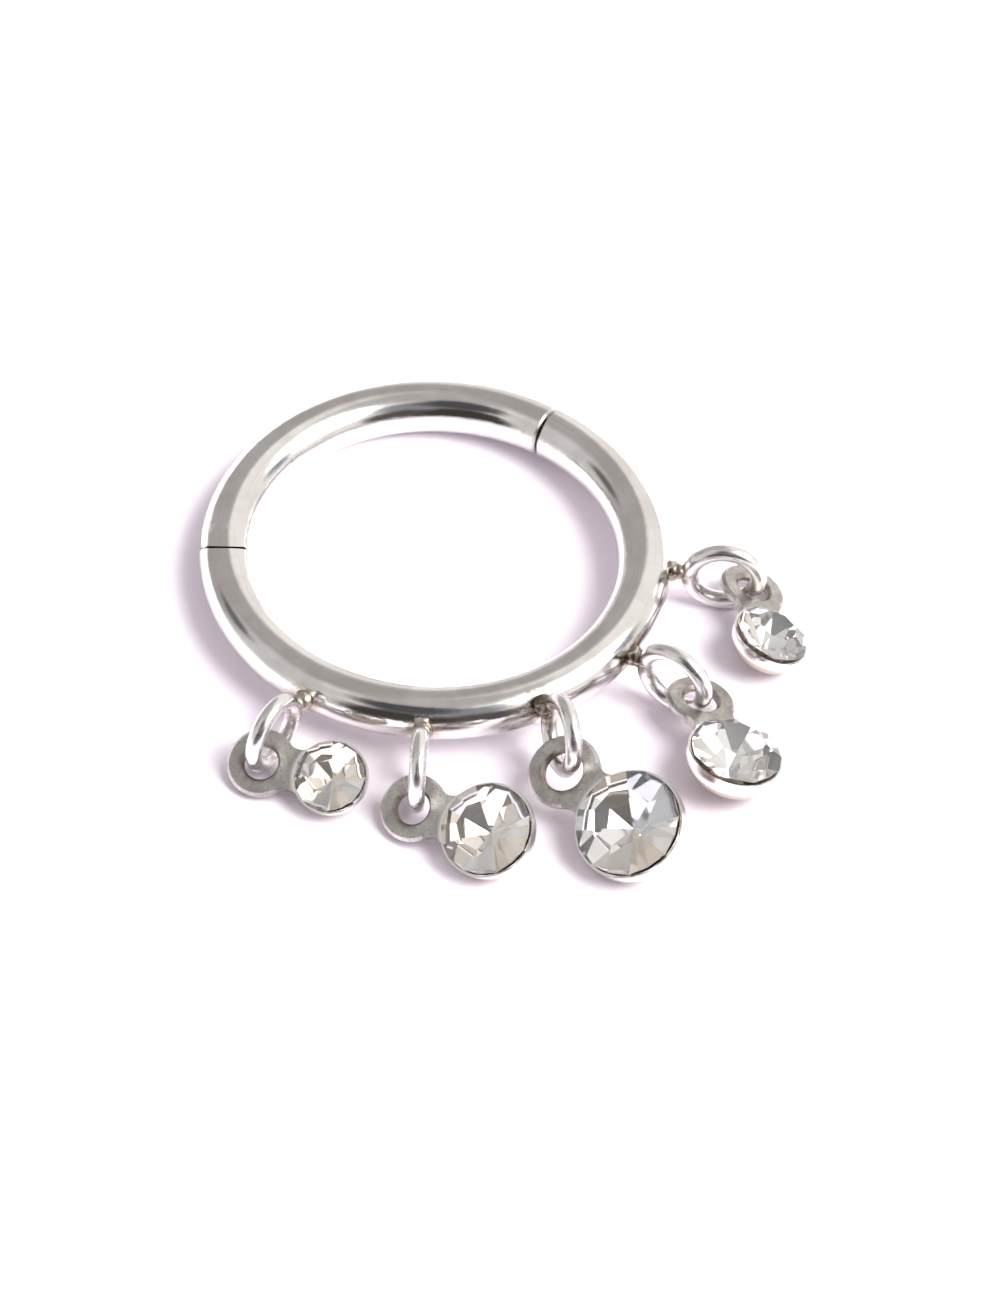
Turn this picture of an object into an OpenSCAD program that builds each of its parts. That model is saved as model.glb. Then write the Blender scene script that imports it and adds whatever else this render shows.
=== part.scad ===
// A hinged clicker ring with five small stone-set drops, lying on a flat surface.
// Millimetres. +Z is up, the surface is at z = 0 and the origin is under the ring's centre.
// The drops are at the front, towards -Y, and the gate that opens is at the back.

/* [Ring] */
// Inner diameter of the closed ring
inner_d = 8.9; // [8.6:0.1:10]
// Diameter of the ring's wire
wire_d = 1.3; // [1.1:0.05:1.35]
// How far the drops hold the front of the ring up, in degrees
rest_tilt = 2.7; // [2.6:0.1:3.6]

/* [Gate] */
// Direction of the hinge pin, seen from the ring's centre
hinge_angle = 150; // [140:1:155]
// Direction of the seam where the gate clicks shut
click_angle = 30.8; // [20:0.1:40]
// Width of the seam at the catch
click_gap = 0.06; // [0.05:0.01:0.12]
// Bevel of the two ends at the catch
click_bevel = 0.05; // [0.02:0.01:0.06]
// Radius of the gate's rounded end, about the pin
knuckle_r = 0.7; // [0.68:0.01:0.75]
// Gap between the rounded end and its seat
knuckle_gap = 0.06; // [0.04:0.01:0.08]
// Radius of the hidden hinge pin
pin_r = 0.15; // [0.12:0.01:0.18]
// Length of the hidden hinge pin
pin_length = 0.92; // [0.8:0.01:0.96]
// Running clearance round the pin
pin_gap = 0.02; // [0.02:0.01:0.05]

/* [Loops] */
// Diameter of a soldered loop's wire
loop_wire_d = 0.42; // [0.32:0.01:0.44]
// Outer diameter of a soldered loop
loop_outer_d = 2.1; // [2:0.01:2.2]
// Radius of the bead of solder at each loop
solder_r = 0.26; // [0.24:0.01:0.34]

/* [Drops] */
// Thickness of a drop's flat ear
ear_t = 0.24; // [0.2:0.01:0.3]
// Width of the ear's metal round its hole
ear_w = 0.43; // [0.38:0.01:0.48]
// Depth of the ear's upper face below the cup's rim
ear_drop = 0.05; // [0.01:0.01:0.1]
// Bevel of the ear's edges
ear_bevel = 0.07; // [0.02:0.01:0.08]
// Radius of the fillets at the neck
neck_fillet = 0.4; // [0.3:0.05:0.5]
// Wall of a cup at its rim
cup_wall = 0.06; // [0.05:0.01:0.08]

/* [Stones] */
// Gap between the rim of a cup and the lower edge of its stone's girdle
stone_gap = 0.05; // [0.04:0.01:0.08]
// Table radius as a share of the stone's radius
table_share = 0.56; // [0.5:0.01:0.65]
// Crown height as a share of the stone's radius
crown_share = 0.32; // [0.28:0.01:0.38]
// Pavilion depth as a share of the stone's radius
pavilion_share = 0.65; // [0.55:0.01:0.66]

/* [Hidden] */
$fn = 64;

// Places of the five loops round the ring, seen from its centre. Angles in degrees.
LOOP_ANGLE = 0;
LOOP_REACH = 1;
LOOP_HEIGHT = 2;
LOOP_TWIST = 3;
LOOP_LEAN = 4;
// angle, reach past the ring's wire, height over its middle plane, twist, lean
LOOPS = [
    [-149.8, 1.90, 0.00, 0.0, 0],
    [-119.4, 1.87, 0.00, 0.0, 0],
    [ -89.5, 1.68, 0.33, -8.5, 7],
    [ -60.0, 1.88, 0.00, 0.0, 0],
    [ -30.0, 1.95, 0.00, 0.0, 0]
];

// How each drop hangs on its loop and lies. Angles in degrees.
DROP_HANG = 0;
DROP_SLACK_X = 1;
DROP_SLACK_Y = 2;
DROP_TURN = 3;
DROP_PITCH = 4;
DROP_ROLL = 5;
// place on the loop's wire, play of the ear along and across, turn, pitch, roll
DROPS = [
    [-42,  0.07,  0.03,  -45.5, 6.5,  25.5],
    [-40, -0.02, -0.10,  -53.5, 9.5,  30.0],
    [-37, -0.02, -0.09,  -73.0, 2.0,  30.0],
    [-32, -0.08,  0.08,  -94.0, 5.0, -15.0],
    [-37, -0.08,  0.06, -105.0, 6.5, -24.0]
];

// Sizes of each drop
EAR_R = 0;
CUP_R = 1;
CUP_DEPTH = 2;
STONE_TURN = 3;
// radius of the ear, radius of the cup, depth of the cup, turn of the stone in degrees
SIZES = [
    [0.85, 0.93, 0.75, 34],
    [0.84, 1.18, 0.82, 12],
    [0.92, 1.37, 0.92, 22],
    [0.85, 1.18, 0.84, 22],
    [0.84, 0.97, 0.75, 11]
];

// The ring
wire_r = wire_d / 2;
ring_r = inner_d / 2 + wire_r;
ring_lift = wire_r + ring_r * sin(rest_tilt);
around = 360;

// The hinge
pin_at = ring_r * [cos(hinge_angle), sin(hinge_angle), 0];
tongue_t = 0.4;
tongue_r = 0.42;
tongue_half_w = 0.3;
tongue_length = 1.3;
tongue_gap = 0.04;
slot_from = hinge_angle - 18;
slot_sweep = 156;
cutter_sweep = 20;
cut_margin = 0.1;

// The catch
click_half = around * click_gap / (4 * PI * ring_r);
nub_base_r = 0.34;
nub_tip_r = 0.12;
nub_length = 0.26;
nub_root = 0.1;
nub_gap = 0.04;

// The loops
loop_r = (loop_outer_d - loop_wire_d) / 2;
// The bead is two balls, each a little out of line, as drops of solder set.
solder_at = [0.01, 0.03, 0.06];
solder_cap_at = [0.21, -0.02, 0.09];
solder_cap_r = 0.75 * solder_r;

// The necks
neck_gap = 0.02;
fillet_overlap = 0.01;

// The cups and stones
cup_straight_share = 0.15;
cup_floor = 0.06;
cup_corner = 0.7;
girdle_t = 0.05;
facets = 8;

// Lays the level ring down, with its front held up by the drops.
module lay() {
    translate([0, 0, ring_lift]) rotate([-rest_tilt, 0, 0]) children();
}

// The same for one point.
function laid(p) = [
    p[0],
    p[1] * cos(rest_tilt) + p[2] * sin(rest_tilt),
    p[2] * cos(rest_tilt) - p[1] * sin(rest_tilt) + ring_lift
];

// An arc of the ring's round wire. The circle starts at the bottom, clear of the solder.
module wire_arc(from, to) {
    rotate([0, 0, from]) rotate_extrude(angle = to - from)
        translate([ring_r, 0]) rotate(-90) circle(r = wire_r);
}

// Puts a shape on the wire's centreline, with its +Z along the wire towards a larger angle.
module along_wire(angle) {
    rotate([0, 0, angle]) translate([ring_r, 0, 0]) rotate([-90, 0, 0]) children();
}

// What a bevel takes off the end of the wire. The metal lies towards +Z.
module bevel_cut() {
    rotate_extrude() polygon([
        [wire_r - click_bevel - cut_margin, -cut_margin],
        [wire_r + cut_margin, -cut_margin],
        [wire_r + cut_margin, click_bevel + cut_margin]
    ]);
}

// The cone of the catch. It points towards -Z, with its root in the gate.
module nub(gap) {
    rotate([180, 0, 0]) translate([0, 0, -nub_root])
        cylinder(h = nub_root, r = nub_base_r + gap);
    rotate([180, 0, 0]) cylinder(h = nub_length + gap, r1 = nub_base_r + gap, r2 = nub_tip_r + gap);
}

// The centre of one loop, on the level ring.
function loop_centre(l) = [
    (ring_r + l[LOOP_REACH]) * cos(l[LOOP_ANGLE]),
    (ring_r + l[LOOP_REACH]) * sin(l[LOOP_ANGLE]),
    l[LOOP_HEIGHT]
];

// A point on the centreline of a loop's wire, at an angle above the loop's outer side.
function loop_point(l, hang) =
    let (a = l[LOOP_ANGLE] + l[LOOP_TWIST], lean = l[LOOP_LEAN])
    loop_centre(l) + loop_r * (
        cos(hang) * [cos(a), sin(a), 0]
        + sin(hang) * [-sin(lean) * sin(a), sin(lean) * cos(a), cos(lean)]
    );

// A round wire loop and the solder that holds it to the ring.
module soldered_loop(l) {
    translate(loop_centre(l)) rotate([0, 0, l[LOOP_ANGLE] + l[LOOP_TWIST]])
        rotate([90 - l[LOOP_LEAN], 0, 0])
            rotate_extrude() translate([loop_r, 0]) circle(r = loop_wire_d / 2);
    rotate([0, 0, l[LOOP_ANGLE]]) translate([ring_r + wire_r, 0, l[LOOP_HEIGHT]]) {
        translate(solder_at) solder_ball(solder_r);
        translate(solder_cap_at) solder_ball(solder_cap_r);
    }
}

// A ball whose poles point along the loop's plane, so that they are inside the metal.
module solder_ball(r) {
    rotate([0, 90, 0]) sphere(r = r);
}

// The fixed arc of the ring, with the tongue of the hinge, the socket of the catch and the loops.
module ring_body() {
    color("silver") lay() {
        difference() {
            union() {
                difference() {
                    wire_arc(hinge_angle, around + click_angle - click_half);
                    translate(pin_at)
                        cylinder(h = 2 * wire_d, r = knuckle_r + knuckle_gap, center = true);
                    along_wire(click_angle - click_half) mirror([0, 0, 1]) bevel_cut();
                    along_wire(click_angle + click_half) nub(nub_gap);
                }
                translate(pin_at) rotate([0, 0, hinge_angle]) tongue();
                for (l = LOOPS) soldered_loop(l);
            }
            translate(pin_at)
                cylinder(h = 2 * wire_d, r = pin_r + pin_gap, center = true);
        }
    }
}

// The tongue, from the pin towards the fixed arc.
module tongue() {
    cylinder(h = tongue_t, r = tongue_r, center = true);
    translate([-tongue_half_w, 0, -tongue_t / 2])
        cube([2 * tongue_half_w, tongue_length, tongue_t]);
}

// The arc that opens, with its rounded end, the slot for the tongue and the nub of the catch.
module gate() {
    color("silver") lay() {
        difference() {
            wire_arc(click_angle + click_half, hinge_angle + cutter_sweep / 2);
            difference() {
                rotate([0, 0, hinge_angle]) rotate_extrude(angle = cutter_sweep)
                    translate([ring_r - wire_d, -wire_d]) square(2 * wire_d);
                translate(pin_at) cylinder(h = 3 * wire_d, r = knuckle_r, center = true);
            }
            along_wire(click_angle + click_half) bevel_cut();
            translate(pin_at) {
                cylinder(h = tongue_t + 2 * tongue_gap, r = tongue_r + tongue_gap, center = true);
                rotate([0, 0, slot_from]) rotate_extrude(angle = slot_sweep)
                    translate([0, -tongue_t / 2 - tongue_gap])
                        square([knuckle_r + cut_margin, tongue_t + 2 * tongue_gap]);
                cylinder(h = pin_length + 2 * pin_gap, r = pin_r + pin_gap, center = true);
            }
        }
        along_wire(click_angle + click_half) nub(0);
    }
}

// The pin of the hinge.
module hinge_pin() {
    color("gray") lay() translate(pin_at) cylinder(h = pin_length, r = pin_r, center = true);
}

// Distance from the centre of a drop's ear to the centre of its cup.
function neck_length(s) = s[EAR_R] + s[CUP_R] + neck_gap;

// Puts a drop's parts in place. There the ear's centre is the origin, the cup is towards +X, and
// the cup's rim is at z = 0.
module hang(i) {
    d = DROPS[i];
    translate(laid(loop_point(LOOPS[i], d[DROP_HANG])))
        rotate([d[DROP_ROLL], -d[DROP_PITCH], d[DROP_TURN]])
            translate([d[DROP_SLACK_X], d[DROP_SLACK_Y], ear_drop + ear_t / 2]) children();
}

// The ring-shaped ear.
module ear(s) {
    translate([0, 0, -ear_drop]) rotate_extrude() polygon([
        [0, -ear_t],
        [s[EAR_R] - ear_bevel, -ear_t],
        [s[EAR_R], -ear_t + ear_bevel],
        [s[EAR_R], -ear_bevel],
        [s[EAR_R] - ear_bevel, 0],
        [0, 0]
    ]);
}

// The hole of the ear.
module ear_hole(s) {
    hole_r = s[EAR_R] - ear_w;
    translate([0, 0, -ear_drop]) rotate_extrude() polygon([
        [0, -ear_t - cut_margin],
        [hole_r + ear_bevel + cut_margin, -ear_t - cut_margin],
        [hole_r, -ear_t + ear_bevel],
        [hole_r, -ear_bevel],
        [hole_r + ear_bevel + cut_margin, cut_margin],
        [0, cut_margin]
    ]);
}

// The neck between ear and cup, with a fillet on each side.
module neck(s) {
    length = neck_length(s);
    to_ear = s[EAR_R] + neck_fillet;
    to_cup = s[CUP_R] + neck_fillet;
    fillet_x = (pow(to_ear, 2) - pow(to_cup, 2) + pow(length, 2)) / (2 * length);
    fillet_y = sqrt(pow(to_ear, 2) - pow(fillet_x, 2));
    translate([0, 0, -ear_drop - ear_t]) linear_extrude(ear_t) difference() {
        polygon([[0, 0], [fillet_x, fillet_y], [length, 0], [fillet_x, -fillet_y]]);
        for (side = [-1, 1])
            translate([fillet_x, side * fillet_y]) circle(r = neck_fillet + fillet_overlap);
    }
}

// The outside of a cup, with its rim at z = 0.
module cup_outside(s) {
    straight = s[CUP_DEPTH] - cup_corner;
    rotate_extrude() {
        translate([0, -straight]) square([s[CUP_R], straight]);
        translate([0, -s[CUP_DEPTH]]) square([s[CUP_R] - cup_corner, s[CUP_DEPTH]]);
        intersection() {
            translate([s[CUP_R] - cup_corner, -straight]) circle(r = cup_corner);
            translate([0, -s[CUP_DEPTH]]) square([s[CUP_R], s[CUP_DEPTH]]);
        }
    }
}

// The hollow of a cup.
module cup_inside(s) {
    inside_r = s[CUP_R] - cup_wall;
    straight = cup_straight_share * s[CUP_DEPTH];
    rotate_extrude() polygon([
        [0, cut_margin],
        [inside_r, cut_margin],
        [inside_r, -straight],
        [inside_r - cup_corner, cup_floor - s[CUP_DEPTH]],
        [0, cup_floor - s[CUP_DEPTH]]
    ]);
}

// One drop: ear, neck and cup in one piece.
module drop(i) {
    s = SIZES[i];
    color("lightgray") hang(i) difference() {
        union() {
            ear(s);
            neck(s);
            translate([neck_length(s), 0, 0]) cup_outside(s);
        }
        ear_hole(s);
        translate([neck_length(s), 0, 0]) cup_inside(s);
    }
}

// A ring of points of a stone, at one radius and height, from a first angle.
function stone_ring(r, z, from) =
    [for (k = [0 : facets - 1]) let (a = from + around * k / facets) [r * cos(a), r * sin(a), z]];

// A round stone with a table, eight crown facets and eight back facets, and the middle of its
// girdle at z = 0. The girdle's edges rise and fall where the flat facets meet it.
module cut_stone(r) {
    half = around / facets / 2;
    flat = cos(half);
    table_r = table_share * r;
    crown = crown_share * r;
    pavilion = pavilion_share * r;
    up = girdle_t / 2;
    upper_rise = crown * r * (1 - flat) / (r - table_r * flat);
    lower_rise = pavilion * (1 / flat - 1);
    points = concat(
        stone_ring(table_r, crown + up, 0),
        stone_ring(r, up + upper_rise, 0),
        stone_ring(r, up, half),
        stone_ring(r, lower_rise - up, 0),
        stone_ring(r, -up, half),
        [[0, 0, -pavilion - up]]
    );
    n = facets;
    upper_high = n;
    upper_low = 2 * n;
    lower_high = 3 * n;
    lower_low = 4 * n;
    tip = 5 * n;
    faces = concat(
        [[for (i = [n - 1 : -1 : 0]) i]],
        [for (i = [0 : n - 1]) let (j = (i + 1) % n)
            [i, j, upper_high + j, upper_low + i, upper_high + i]],
        [for (i = [0 : n - 1])
            [upper_high + i, upper_low + i, lower_low + i, lower_high + i]],
        [for (i = [0 : n - 1]) let (j = (i + 1) % n)
            [upper_low + i, upper_high + j, lower_high + j, lower_low + i]],
        [for (i = [0 : n - 1]) let (h = (i + n - 1) % n)
            [lower_low + h, lower_high + i, lower_low + i, tip]]
    );
    polyhedron(points = points, faces = faces);
}

// The stone of one drop, on its cup.
module stone(i) {
    s = SIZES[i];
    color("white", 0.6) hang(i) translate([neck_length(s), 0, stone_gap + girdle_t / 2])
        rotate([0, 0, s[STONE_TURN]]) cut_stone(s[CUP_R] - cup_wall);
}

ring_body();
gate();
hinge_pin();
drop(0);  // drop_1
drop(1);  // drop_2
drop(2);  // drop_3
drop(3);  // drop_4
drop(4);  // drop_5
stone(0);  // stone_1
stone(1);  // stone_2
stone(2);  // stone_3
stone(3);  // stone_4
stone(4);  // stone_5
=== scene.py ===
"""Looks of the hinged clicker ring: finishes, cut stones, floor, light and camera."""

import math
from collections import namedtuple

import bmesh
import bpy
from mathutils import Matrix, Vector


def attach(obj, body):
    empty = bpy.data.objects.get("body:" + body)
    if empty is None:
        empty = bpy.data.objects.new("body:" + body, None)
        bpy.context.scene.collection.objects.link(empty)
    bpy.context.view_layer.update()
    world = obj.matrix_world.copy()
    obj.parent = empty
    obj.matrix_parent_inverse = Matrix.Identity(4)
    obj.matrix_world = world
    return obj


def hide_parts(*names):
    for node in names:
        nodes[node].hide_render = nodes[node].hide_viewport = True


# Lengths are in millimetres and angles in degrees, unless a comment says otherwise
MM = 0.001

# The ring as the solids have it
RING_R = 5.1
WIRE_R = 0.65
REST_TILT = 2.7
RING_LIFT = WIRE_R + RING_R * math.sin(math.radians(REST_TILT))
LOOP_R = 0.84
SEAMS = (30.8, 150.0)

# Each loop's angle round the ring, reach past the wire's centreline, height, twist and lean,
# and how dark its burned solder and the painted brown reflection of the loop under the wire are, from 0
# to 1
Loop = namedtuple("Loop", "angle reach height twist lean burn")
LOOPS = (
    Loop(-149.8, 1.90, 0.00, 0.0, 0.0, 0.15),
    Loop(-119.4, 1.87, 0.00, 0.0, 0.0, 0.3),
    Loop(-89.5, 1.68, 0.33, -8.5, 7.0, 1.0),
    Loop(-60.0, 1.88, 0.00, 0.0, 0.0, 1.0),
    Loop(-30.0, 1.95, 0.00, 0.0, 0.0, 0.75),
)

# Each drop's place round its loop, play along and across, turn, pitch and roll
Drop = namedtuple("Drop", "hang slack_x slack_y turn pitch roll")
DROPS = (
    Drop(-42.0, 0.07, 0.03, -45.5, 6.5, 25.5),
    Drop(-40.0, -0.02, -0.10, -53.5, 9.5, 30.0),
    Drop(-37.0, -0.02, -0.09, -73.0, 2.0, 30.0),
    Drop(-32.0, -0.08, 0.08, -94.0, 5.0, -15.0),
    Drop(-37.0, -0.08, 0.06, -105.0, 6.5, -24.0),
)

# Each drop's radius of the ear and of the cup, and the turn of its stone
Size = namedtuple("Size", "ear_r cup_r stone_turn")
SIZES = (
    Size(0.85, 0.93, 34.0),
    Size(0.84, 1.18, 12.0),
    Size(0.92, 1.37, 22.0),
    Size(0.85, 1.18, 22.0),
    Size(0.84, 0.97, 11.0),
)

# What the drops share: the ear's thickness, the width of its band, how far its top is under the cup's
# rim, the neck between ear and cup, and the cup's wall
EAR_T = 0.24
EAR_W = 0.43
EAR_DROP = 0.05
NECK_GAP = 0.02
CUP_WALL = 0.06

# The stones: gap over the rim, girdle, then the cut as shares of the stone's radius
STONE_GAP = 0.05
GIRDLE_T = 0.05
TABLE_SHARE = 0.56
CROWN_SHARE = 0.32
PAVILION_SHARE = 0.65
FACETS = 8

# Where the foil is in a stone's list of materials, after the glass
FOIL_SLOT = 1

# The camera, found from the photo. The sensor and the lens are a camera's own millimetres.
VIEW_TURN = -28.0
VIEW_ELEVATION = 47.57
VIEW_ROLL = 2.32
VIEW_DISTANCE = 306.0
VIEW_RIGHT = 1.654
VIEW_UP = -2.185
SENSOR = 36.0
LENS = 349.5
CLIP_NEAR = 10.0
CLIP_FAR = 10000.0

# How far past the wire the middle of a loop's solder is. The painted brown reflection of the loop lies
# beside the loop, turned by an angle, and under the wire, out and down by shares of the wire's radius.
SOLDER_OUT = 0.1
REFLECTION_TURN = 5.0
REFLECTION_OUT = 0.75
REFLECTION_DOWN = 0.6

# How far noise moves the edges of the solder, of the painted reflection beside it and of the painted
# shade in a drop's hole
SOLDER_UNEVEN = 0.6
REFLECTION_UNEVEN = 0.9
HOLE_SHADE_UNEVEN = 0.4

# Soft edges of the marks, the painted reflection and the painted shade: the distances at which each
# starts and is full.
# They are measured from the middle of the solder, painted reflection or seam, past the wire, cup or
# hole, and above the cup's rim.
SOLDER_FADE = (0.6, 0.22)
BURN_FADE = (0.5, 0.26)
REFLECTION_FADE = (0.65, 0.3)
SEAM_FADE = (0.16, 0.07)
WIRE_FADE = (0.12, 0.25)
CUP_FADE = (0.12, 0.01)
INNER_WALL_FADE = (-0.03, -0.07)
RIM_FADE = (0.03, -0.02)
HOLE_FADE = (0.14, -0.02)

# Fine lines along the wire: how fast they change round its section and along it
LINES_ROUND = 9.0
LINES_ALONG = 1.6

# Least distances from the middles of the wire and of the ring, so that nothing is divided by zero
WIRE_CORE = 0.05
RING_CORE = 0.5

STEEL = (0.87, 0.855, 0.84, 1)
STEEL_DULL = (0.76, 0.74, 0.72, 1)
LOOP_STEEL = (0.90, 0.885, 0.87, 1)
SOLDER_GOLD = (0.62, 0.54, 0.43, 1)
# Burned solder, and the painted brown reflection of the loops under the wire
SOLDER_BURN_AND_REFLECTION = (0.15, 0.115, 0.085, 1)
PIN_DARK = (0.52, 0.51, 0.50, 1)
PIN_LIGHT = (0.70, 0.69, 0.67, 1)
EAR_DARK = (0.45, 0.43, 0.405, 1)
EAR_LIGHT = (0.64, 0.62, 0.59, 1)
EAR_SPECK = (0.36, 0.34, 0.32, 1)
# Painted shade in a drop's hole
EAR_HOLE_SHADE = (0.27, 0.225, 0.185, 1)
CUP_BRIGHT = (0.88, 0.865, 0.85, 1)
# A tan line on the cup's inner wall, just under its rim
RIM_INNER_TAN = (0.42, 0.34, 0.25, 1)
GLASS_COOL = (0.97, 0.98, 1.0, 1)
GLASS_WARM = (1.0, 0.995, 0.98, 1)
FOIL_SILVER = (1.0, 0.995, 0.99, 1)
# Painted coloured glints on some of the foil's facets
FOIL_GLINT_BLUE = (0.76, 0.79, 0.83, 1)
FOIL_GLINT_WARM = (0.98, 0.90, 0.80, 1)
PAPER_DARK = (0.88, 0.82, 0.89, 1)
PAPER_LIGHT = (0.90, 0.84, 0.91, 1)
GLASS_IOR = 1.42

# The foil behind a stone takes its tint from where its facet faces, in steps of a unit vector. Its blue
# and warm tints are painted coloured glints.
# The shift keeps what is rounded to those steps above zero.
FACET_STEP = (0.06, 0.06, 0.06)
FACET_SHIFT = (3.0, 3.0, 3.0)

# The soft lights: name, where from as seen in the photo (round, up), strength, width, colour.
# They light the floor. What the metal and the stones mirror is the studio below.
LIGHTS = (
    ("key", (-14, 52), 3.4, 40.0, (1.0, 1.0, 0.99)),
    ("fill", (-63, 77), 0.92, 150.0, (0.95, 0.91, 1.0)),
)

# The studio's colour, and its patches: where as seen in the photo (round, up), half width, half the
# width of the soft edge, colour
ROOM = (0.97, 0.93, 0.90, 1)
PATCHES = (
    ((0, 90), 20.0, 9.0, (0.52, 0.50, 0.49, 1)),
    ((137, 35), 43.0, 6.0, (0.44, 0.42, 0.41, 1)),
    ((-168, 32), 27.0, 10.0, (0.64, 0.63, 0.63, 1)),
    ((-100, 10), 32.0, 12.0, (0.56, 0.55, 0.55, 1)),
    ((166, 26), 9.0, 5.0, (0.16, 0.155, 0.15, 1)),
    ((-13, 43), 23.0, 6.0, (4.0, 3.95, 3.88, 1)),
    ((6, 24), 8.0, 5.0, (0.28, 0.32, 0.37, 1)),
    ((-71, 46), 15.0, 6.0, (0.30, 0.315, 0.345, 1)),
    ((-68, 15), 19.0, 6.0, (0.11, 0.10, 0.095, 1)),
    ((-104, 17), 23.0, 5.0, (0.06, 0.055, 0.05, 1)),
    ((-106, 56), 17.0, 6.0, (0.085, 0.088, 0.095, 1)),
)

# The horizon's dark band fades out at this height of a unit vector
HORIZON_HEIGHT = 0.04
HORIZON = (0.16, 0.155, 0.15, 1)

# Half the width of the floor
FLOOR_HALF = 900.0


def turn_about(axis, degrees):
    return Matrix.Rotation(math.radians(degrees), 4, axis)


# From the level ring, seen as in the photo, to the row frame
LAY = Matrix.Translation((0, 0, RING_LIFT)) @ turn_about("X", -REST_TILT)
PHOTO_TO_ROW = LAY @ turn_about("Z", VIEW_TURN)


def direction(around, height):
    """A direction as seen in the photo, in the row frame. Degrees from the right, 90 away, and up."""
    a, h = math.radians(around), math.radians(height)
    v = Vector((math.cos(h) * math.cos(a), math.cos(h) * math.sin(a), math.sin(h)))
    return turn_about("Z", VIEW_TURN) @ v


def level_point(radius, degrees, height):
    """A point on a level circle round the ring's middle."""
    angle = math.radians(degrees)
    return Vector((radius * math.cos(angle), radius * math.sin(angle), height))


def loop_point(loop, hang):
    """A point on the centreline of a loop's wire, in the level ring's frame."""
    a, lean, h = math.radians(loop.angle + loop.twist), math.radians(loop.lean), math.radians(hang)
    outward = Vector((math.cos(a), math.sin(a), 0))
    upward = Vector((-math.sin(lean) * math.sin(a), math.sin(lean) * math.cos(a), math.cos(lean)))
    centre = level_point(RING_R + loop.reach, loop.angle, loop.height)
    return centre + LOOP_R * (math.cos(h) * outward + math.sin(h) * upward)


def solder_point(loop):
    """Where a loop's solder is, in the row frame."""
    return LAY @ level_point(RING_R + WIRE_R + SOLDER_OUT, loop.angle, loop.height)


def painted_reflection_point(loop):
    """The middle of the painted brown reflection of a loop, beside it under the wire, in the row frame.
    """
    return LAY @ level_point(RING_R + REFLECTION_OUT * WIRE_R, loop.angle - REFLECTION_TURN, -REFLECTION_DOWN * WIRE_R)


def drop_frame(i):
    """The frame of a drop: its ear at the origin, its cup towards +X, its rim at z = 0."""
    drop = DROPS[i]
    spin = turn_about("Z", drop.turn) @ turn_about("Y", -drop.pitch) @ turn_about("X", drop.roll)
    place = Matrix.Translation(LAY @ loop_point(LOOPS[i], drop.hang))
    return place @ spin @ Matrix.Translation((drop.slack_x, drop.slack_y, EAR_DROP + EAR_T / 2))


def neck_length(i):
    """From the middle of a drop's ear to the middle of its cup."""
    return SIZES[i].ear_r + SIZES[i].cup_r + NECK_GAP


# The sockets of a colour mix, by number, because several of them have one name
MIX_FACTOR, MIX_FIRST, MIX_SECOND, MIX_RESULT = 0, 6, 7, 2


class Nodes:
    """A node tree, emptied, with short calls for the common nodes."""

    def __init__(self, tree):
        self.tree = tree
        tree.nodes.clear()

    def node(self, kind, **settings):
        made = self.tree.nodes.new(kind)
        for name, value in settings.items():
            setattr(made, name, value)
        return made

    def join(self, source, target):
        self.tree.links.new(source, target)

    def feed(self, target, value):
        """Joins another node's output to an input, or sets the input to a constant."""
        if isinstance(value, bpy.types.NodeSocket):
            self.join(value, target)
        else:
            target.default_value = value

    def filled(self, made, values):
        """Gives a node's inputs their values in order, and returns its outputs."""
        for socket, value in zip(made.inputs, values):
            self.feed(socket, value)
        return made.outputs

    def math(self, operation, *values):
        return self.filled(self.node("ShaderNodeMath", operation=operation), values)[0]

    def vector(self, operation, *values, out="Vector"):
        return self.filled(self.node("ShaderNodeVectorMath", operation=operation), values)[out]

    def plus(self, first, second):
        return self.math("ADD", first, second)

    def minus(self, first, second):
        return self.math("SUBTRACT", first, second)

    def times(self, first, second):
        return self.math("MULTIPLY", first, second)

    def over(self, first, second):
        return self.math("DIVIDE", first, second)

    def most(self, first, second):
        return self.math("MAXIMUM", first, second)

    def length(self, x, y):
        return self.math("SQRT", self.plus(self.math("POWER", x, 2.0), self.math("POWER", y, 2.0)))

    def weighted(self, *parts):
        """The sum of values, each given with its weight."""
        total = 0.0
        for value, weight in parts:
            total = self.plus(total, self.times(value, weight))
        return total

    def ramp(self, value, low, high, start=0.0, end=1.0):
        """Goes smoothly from start to end while the value goes from low to high."""
        made = self.node("ShaderNodeMapRange", interpolation_type="SMOOTHSTEP")
        names = ("Value", "From Min", "From Max", "To Min", "To Max")
        for name, given in zip(names, (value, low, high, start, end)):
            self.feed(made.inputs[name], given)
        return made.outputs["Result"]

    def fade(self, distance, edge, soft):
        """A mark with a soft edge, which is given as two distances past a sharp one."""
        return self.ramp(distance, edge + soft[0], edge + soft[1])

    def uneven(self, distance, noise, reach):
        """A distance that noise makes shorter and longer, by up to half the reach."""
        return self.plus(distance, self.times(self.minus(noise, 0.5), reach))

    def mix(self, factor, first, second):
        made = self.node("ShaderNodeMix", data_type="RGBA")
        for socket, value in ((MIX_FACTOR, factor), (MIX_FIRST, first), (MIX_SECOND, second)):
            self.feed(made.inputs[socket], value)
        return made.outputs[MIX_RESULT]

    def apart(self, vector):
        """The x, y and z of a vector."""
        return self.filled(self.node("ShaderNodeSeparateXYZ"), (vector,))

    def packed(self, x, y, z):
        return self.filled(self.node("ShaderNodeCombineXYZ"), (x, y, z))[0]


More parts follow.
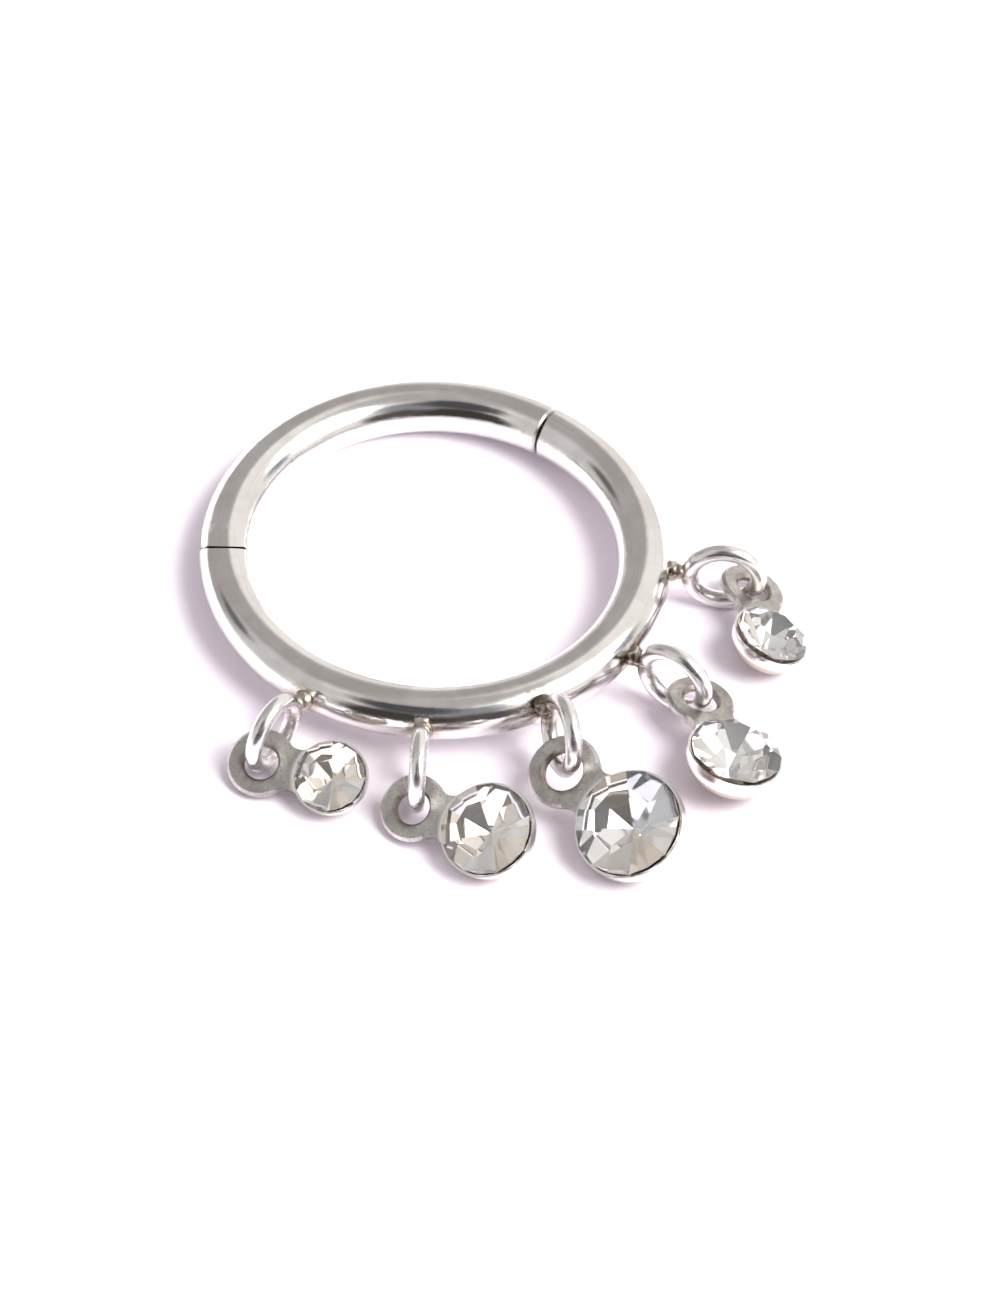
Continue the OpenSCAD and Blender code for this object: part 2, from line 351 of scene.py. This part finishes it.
class Shade(Nodes):
    """The nodes of a material with one shader. Its place is where a point is in the row frame when the
    ring is closed, in millimetres.
    """

    def __init__(self, name):
        self.material = bpy.data.materials.new(name)
        self.material.use_nodes = True
        super().__init__(self.material.node_tree)
        self.surface = self.node("ShaderNodeBsdfPrincipled")
        output = self.node("ShaderNodeOutputMaterial")
        self.join(self.surface.outputs["BSDF"], output.inputs["Surface"])
        scaled = self.node("ShaderNodeVectorMath", operation="SCALE")
        scaled.inputs["Scale"].default_value = 1 / MM
        self.join(self.node("ShaderNodeTexCoord").outputs["Object"], scaled.inputs[0])
        self.place = scaled.outputs[0]

    def moved(self, matrix):
        """The place in another frame, whose matrix to the row frame is given."""
        back = matrix.inverted()
        made = self.node("ShaderNodeMapping", vector_type="POINT")
        self.join(self.place, made.inputs["Vector"])
        made.inputs["Location"].default_value = back.translation
        made.inputs["Rotation"].default_value = back.to_euler("XYZ")
        return made.outputs["Vector"]

    def distance(self, point):
        return self.vector("DISTANCE", self.place, tuple(point), out="Value")

    def noise(self, vector, scale, detail, rough, fourth=None):
        """Soft noise, of four dimensions where a fourth value is given."""
        made = self.node("ShaderNodeTexNoise", noise_dimensions="3D" if fourth is None else "4D")
        self.join(vector, made.inputs["Vector"])
        if fourth is not None:
            self.join(fourth, made.inputs["W"])
        made.inputs["Scale"].default_value = scale
        made.inputs["Detail"].default_value = detail
        made.inputs["Roughness"].default_value = rough
        return made.outputs["Fac"]

    def bump(self, height, strength, distance):
        made = self.node("ShaderNodeBump")
        made.inputs["Strength"].default_value = strength
        made.inputs["Distance"].default_value = distance * MM
        self.join(height, made.inputs["Height"])
        return made.outputs["Normal"]

    def finish(self, color, rough, normal=None, metallic=1.0):
        self.surface.inputs["Metallic"].default_value = metallic
        self.feed(self.surface.inputs["Base Color"], color)
        self.feed(self.surface.inputs["Roughness"], rough)
        if normal is not None:
            self.join(normal, self.surface.inputs["Normal"])
        return self.material


def wire_lines(s, x, y, z):
    """How far a place is from the wire's centreline, and the noise of fine lines along the wire."""
    from_axis = s.length(x, y)
    out = s.minus(from_axis, RING_R)
    across = s.most(s.length(out, z), WIRE_CORE)
    along = s.most(from_axis, RING_CORE)
    section = s.packed(
        s.times(s.over(out, across), LINES_ROUND),
        s.times(s.over(z, across), LINES_ROUND),
        s.times(s.over(x, along), LINES_ALONG),
    )
    fourth = s.times(s.over(y, along), LINES_ALONG)
    return across, s.noise(section, scale=1.6, detail=5.0, rough=0.62, fourth=fourth)


def solder_and_reflection_marks(s, patches):
    """The tint of the solder at the loops, and the darkening of its burned parts and of the painted
    brown reflection of each loop under the wire, each from 0 to 1.
    """
    tint, burnt_and_reflected = 0.0, 0.0
    for loop in LOOPS:
        reach = s.uneven(s.distance(solder_point(loop)), patches, SOLDER_UNEVEN)
        # The painted brown reflection of the loop, under the wire beside it
        reflection = s.uneven(s.distance(painted_reflection_point(loop)), patches, REFLECTION_UNEVEN)
        brown = s.most(s.ramp(reach, *BURN_FADE), s.ramp(reflection, *REFLECTION_FADE))
        tint = s.most(tint, s.ramp(reach, *SOLDER_FADE))
        burnt_and_reflected = s.most(burnt_and_reflected, s.times(brown, loop.burn))
    return tint, burnt_and_reflected


def seam_wear(s, x, y):
    """Where the wire is worn at its two seams, from 0 to 1."""
    angle = s.math("ARCTAN2", y, x)
    wear = 0.0
    for seam in SEAMS:
        gap = s.math("ABSOLUTE", s.minus(angle, math.radians(seam)))
        wear = s.most(wear, s.ramp(gap, SEAM_FADE[0] / RING_R, SEAM_FADE[1] / RING_R))
    return wear


def polished_steel():
    """Mirror steel with fine lines along the wire, tinted by heat and solder at the loops, with a
    painted brown reflection of each loop under the wire.
    """
    s = Shade("polished_steel")
    x, y, z = s.apart(s.moved(LAY))
    across, lines = wire_lines(s, x, y, z)
    clouds = s.noise(s.place, scale=0.9, detail=3.0, rough=0.55)
    grain = s.noise(s.place, scale=22.0, detail=3.0, rough=0.6)
    patches = s.noise(s.place, scale=3.2, detail=3.0, rough=0.6)
    tint, burnt_and_reflected = solder_and_reflection_marks(s, patches)
    burnt_and_reflected = s.times(burnt_and_reflected, s.ramp(lines, 0.36, 0.52))
    loops = s.fade(across, WIRE_R, WIRE_FADE)
    color = s.mix(s.ramp(clouds, 0.35, 0.65), STEEL, STEEL_DULL)
    color = s.mix(s.ramp(lines, 0.52, 0.68), color, STEEL_DULL)
    color = s.mix(s.times(loops, 0.8), color, LOOP_STEEL)
    color = s.mix(s.times(tint, 0.8), color, SOLDER_GOLD)
    # Burned solder and the painted brown reflection of the loops, in one dark brown
    color = s.mix(s.times(burnt_and_reflected, 0.95), color, SOLDER_BURN_AND_REFLECTION)
    rough = s.weighted(
        (s.ramp(lines, 0.35, 0.7, start=0.06, end=0.15), 1.0),
        (tint, 0.12),
        (s.most(loops, seam_wear(s, x, y)), 0.15),
    )
    height = s.weighted(
        (lines, 1.3),
        (grain, 0.2),
        (s.times(patches, tint), 9.0),
        (s.times(patches, loops), 2.0),
        (clouds, 4.0),
    )
    return s.finish(color, rough, s.bump(height, strength=0.4, distance=0.005))


def pin_steel():
    """Drawn wire, dull with a fine grain."""
    s = Shade("pin_steel")
    grain = s.noise(s.place, scale=18.0, detail=4.0, rough=0.6)
    color = s.mix(grain, PIN_DARK, PIN_LIGHT)
    rough = s.ramp(grain, 0.3, 0.7, start=0.22, end=0.38)
    return s.finish(color, rough, s.bump(grain, strength=0.4, distance=0.004))


def plated_metal(i):
    """Satin ear and neck, with painted shade in the hole, brighter cup, and a tan line inside its rim.
    """
    s = Shade(f"plated_metal_{i + 1}")
    x, y, z = s.apart(s.moved(drop_frame(i)))
    from_hole = s.length(x, y)
    from_cup = s.length(s.minus(x, neck_length(i)), y)
    cup_r = SIZES[i].cup_r
    hole_r = SIZES[i].ear_r - EAR_W
    grain = s.noise(s.place, scale=16.0, detail=4.0, rough=0.65)
    clouds = s.noise(s.place, scale=2.2, detail=3.0, rough=0.55)
    cup = s.fade(from_cup, cup_r, CUP_FADE)
    # The tan line on the cup's inner wall under the rim
    inner_tan = s.times(s.fade(from_cup, cup_r, INNER_WALL_FADE), s.ramp(z, *RIM_FADE))
    # Painted shade, darker towards and inside the hole
    hole_shade = s.fade(s.uneven(from_hole, clouds, HOLE_SHADE_UNEVEN), hole_r, HOLE_FADE)
    color = s.mix(s.ramp(clouds, 0.3, 0.7), EAR_DARK, EAR_LIGHT)
    color = s.mix(s.ramp(grain, 0.5, 0.7), color, EAR_SPECK)
    color = s.mix(s.times(hole_shade, 0.8), color, EAR_HOLE_SHADE)
    color = s.mix(cup, color, CUP_BRIGHT)
    color = s.mix(s.times(inner_tan, 0.8), color, RIM_INNER_TAN)
    satin = s.ramp(grain, 0.3, 0.7, start=0.30, end=0.40)
    bright = s.ramp(clouds, 0.3, 0.7, start=0.10, end=0.20)
    rough = s.weighted((bright, cup), (satin, s.minus(1.0, cup)))
    height = s.weighted((grain, 0.5), (clouds, 1.0))
    return s.finish(color, rough, s.bump(height, strength=0.5, distance=0.012))


def crystal():
    """Clear cut glass with slight wear."""
    s = Shade("crystal")
    haze = s.noise(s.place, scale=5.0, detail=3.0, rough=0.5)
    s.surface.inputs["IOR"].default_value = GLASS_IOR
    s.surface.inputs["Transmission Weight"].default_value = 1.0
    rough = s.ramp(haze, 0.45, 0.75, start=0.0, end=0.02)
    return s.finish(s.mix(haze, GLASS_COOL, GLASS_WARM), rough, metallic=0.0)


def foil():
    """The silvery foil behind a stone. Its tint and gloss differ a little from facet to facet, and its
    blue and warm facets are painted coloured glints.
    """
    s = Shade("foil")
    normal = s.node("ShaderNodeNewGeometry").outputs["True Normal"]
    steps = s.vector("SNAP", s.vector("ADD", normal, FACET_SHIFT), FACET_STEP)
    facet = s.filled(s.node("ShaderNodeTexWhiteNoise", noise_dimensions="3D"), (steps,))["Value"]
    # Painted blue and warm glints on some facets
    color = s.mix(s.ramp(facet, 0.7, 0.9), FOIL_SILVER, FOIL_GLINT_BLUE)
    color = s.mix(s.ramp(facet, 0.2, 0.06), color, FOIL_GLINT_WARM)
    haze = s.noise(s.place, scale=9.0, detail=3.0, rough=0.5)
    rough = s.plus(
        s.ramp(haze, 0.3, 0.7, start=0.02, end=0.06),
        s.ramp(facet, 0.35, 0.65, start=0.0, end=0.03),
    )
    return s.finish(color, rough, metallic=0.8)


def ring_of(bm, radius, height, start):
    """Vertices of a stone at one radius and height, one for each facet."""
    step = 2 * math.pi / FACETS
    return [
        bm.verts.new((radius * math.cos(start + k * step), radius * math.sin(start + k * step), height))
        for k in range(FACETS)
    ]


def cut_stone(name, radius, turn):
    """A round stone with as many facets on its crown as on its back. Its girdle is at z = 0, with
    glass above and foil below. The girdle's edges rise and fall where flat facets meet it.
    """
    bm = bmesh.new()
    half = math.pi / FACETS
    flat = math.cos(half)
    table_r = TABLE_SHARE * radius
    crown, pavilion = CROWN_SHARE * radius, PAVILION_SHARE * radius
    up = GIRDLE_T / 2
    upper_rise = crown * radius * (1 - flat) / (radius - table_r * flat)
    lower_rise = pavilion * (1 / flat - 1)
    table = ring_of(bm, table_r, crown + up, turn)
    upper_high = ring_of(bm, radius, up + upper_rise, turn)
    upper_low = ring_of(bm, radius, up, turn + half)
    lower_high = ring_of(bm, radius, lower_rise - up, turn)
    lower_low = ring_of(bm, radius, -up, turn + half)
    tip = bm.verts.new((0, 0, -pavilion - up))
    bm.faces.new(table)
    for i in range(FACETS):
        j = (i + 1) % FACETS
        bm.faces.new((table[i], upper_high[i], upper_low[i], upper_high[j], table[j]))
        bm.faces.new((upper_high[i], lower_high[i], lower_low[i], upper_low[i]))
        bm.faces.new((upper_low[i], lower_low[i], lower_high[j], upper_high[j]))
        back = bm.faces.new((tip, lower_low[i], lower_high[i], lower_low[i - 1]))
        back.material_index = FOIL_SLOT
    bmesh.ops.recalc_face_normals(bm, faces=bm.faces)
    return mesh_of(name, bm)


def mesh_of(name, bm):
    mesh = bpy.data.meshes.new(name)
    bm.to_mesh(mesh)
    bm.free()
    return mesh


def add(name, mesh, matrix, materials):
    """Adds a mesh given in millimetres to the scene, in metres and in place."""
    mesh.transform(Matrix.Scale(MM, 4) @ matrix)
    made = bpy.data.objects.new(name, mesh)
    bpy.context.scene.collection.objects.link(made)
    for material in materials:
        mesh.materials.append(material)
    return made


def cut_stones():
    glass, back = crystal(), foil()
    for i, size in enumerate(SIZES):
        mesh = cut_stone(f"cut_stone_{i + 1}", size.cup_r - CUP_WALL, math.radians(size.stone_turn))
        seat = drop_frame(i) @ Matrix.Translation((neck_length(i), 0, STONE_GAP + GIRDLE_T / 2))
        stone = add(f"cut_stone_{i + 1}", mesh, seat, (glass, back))
        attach(stone, "ring")
        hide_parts(f"stone_{i + 1}")


def repaint(node, material):
    node.data.materials.clear()
    node.data.materials.append(material)


def lights():
    for name, where, strength, width, color in LIGHTS:
        sun = bpy.data.lights.new(name, "SUN")
        sun.energy = strength
        sun.angle = math.radians(width)
        sun.color = color
        light = bpy.data.objects.new(name, sun)
        light.rotation_euler = direction(*where).to_track_quat("Z", "Y").to_euler()
        light.visible_glossy = False
        light.visible_transmission = False
        bpy.context.scene.collection.objects.link(light)


def studio():
    """The soft light round the ring, as a sky of broad patches."""
    world = bpy.data.worlds.new("studio")
    bpy.context.scene.world = world
    world.use_nodes = True
    sky = Nodes(world.node_tree)
    coordinate = sky.node("ShaderNodeTexCoord").outputs["Generated"]
    color = ROOM
    for where, width, edge, tint in PATCHES:
        towards = sky.vector("DOT_PRODUCT", coordinate, direction(*where), out="Value")
        rim, core = math.radians(width + edge), math.radians(width - edge)
        color = sky.mix(sky.ramp(towards, math.cos(rim), math.cos(core)), color, tint)
    height = sky.apart(coordinate)["Z"]
    color = sky.mix(sky.ramp(height, HORIZON_HEIGHT, 0.0), color, HORIZON)
    background = sky.node("ShaderNodeBackground")
    sky.join(color, background.inputs["Color"])
    output = sky.node("ShaderNodeOutputWorld")
    sky.join(background.outputs["Background"], output.inputs["Surface"])


def floor():
    """Plain pale paper."""
    bm = bmesh.new()
    bmesh.ops.create_grid(bm, x_segments=1, y_segments=1, size=FLOOR_HALF)
    mesh = mesh_of("floor", bm)
    s = Shade("floor_paper")
    fibre = s.noise(s.place, scale=0.8, detail=3.0, rough=0.5)
    s.surface.inputs["Specular IOR Level"].default_value = 0.2
    paper = s.finish(s.mix(fibre, PAPER_DARK, PAPER_LIGHT), rough=0.9, metallic=0.0)
    add("floor", mesh, Matrix.Identity(4), (paper,))


def camera():
    elevation = math.radians(VIEW_ELEVATION)
    roll = math.radians(VIEW_ROLL)
    across = Vector((1, 0, 0))
    upward = Vector((0, math.sin(elevation), math.cos(elevation)))
    back = Vector((0, -math.cos(elevation), math.sin(elevation)))
    right = math.cos(roll) * across + math.sin(roll) * upward
    up = -math.sin(roll) * across + math.cos(roll) * upward
    pose = Matrix((right, up, back)).transposed().to_4x4()
    pose.translation = VIEW_DISTANCE * back + VIEW_RIGHT * right + VIEW_UP * up
    pose = PHOTO_TO_ROW @ pose
    pose.translation = MM * pose.translation
    lens = bpy.data.cameras.new("camera")
    lens.sensor_width = SENSOR
    lens.lens = LENS
    lens.clip_start = MM * CLIP_NEAR
    lens.clip_end = MM * CLIP_FAR
    made = bpy.data.objects.new("camera", lens)
    made.matrix_world = pose
    bpy.context.scene.collection.objects.link(made)
    bpy.context.scene.camera = made


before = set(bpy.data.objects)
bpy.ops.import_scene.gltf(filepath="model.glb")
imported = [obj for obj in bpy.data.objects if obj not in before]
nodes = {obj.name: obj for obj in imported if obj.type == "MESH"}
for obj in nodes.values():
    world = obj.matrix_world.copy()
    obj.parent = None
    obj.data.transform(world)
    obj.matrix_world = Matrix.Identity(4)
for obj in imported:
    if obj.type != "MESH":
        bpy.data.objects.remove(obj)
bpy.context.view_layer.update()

steel = polished_steel()
repaint(nodes["ring_body"], steel)
repaint(nodes["gate"], steel)
repaint(nodes["hinge_pin"], pin_steel())
for number in range(len(DROPS)):
    repaint(nodes[f"drop_{number + 1}"], plated_metal(number))
cut_stones()

floor()
lights()
studio()
camera()
bpy.context.scene.view_settings.view_transform = "Standard"
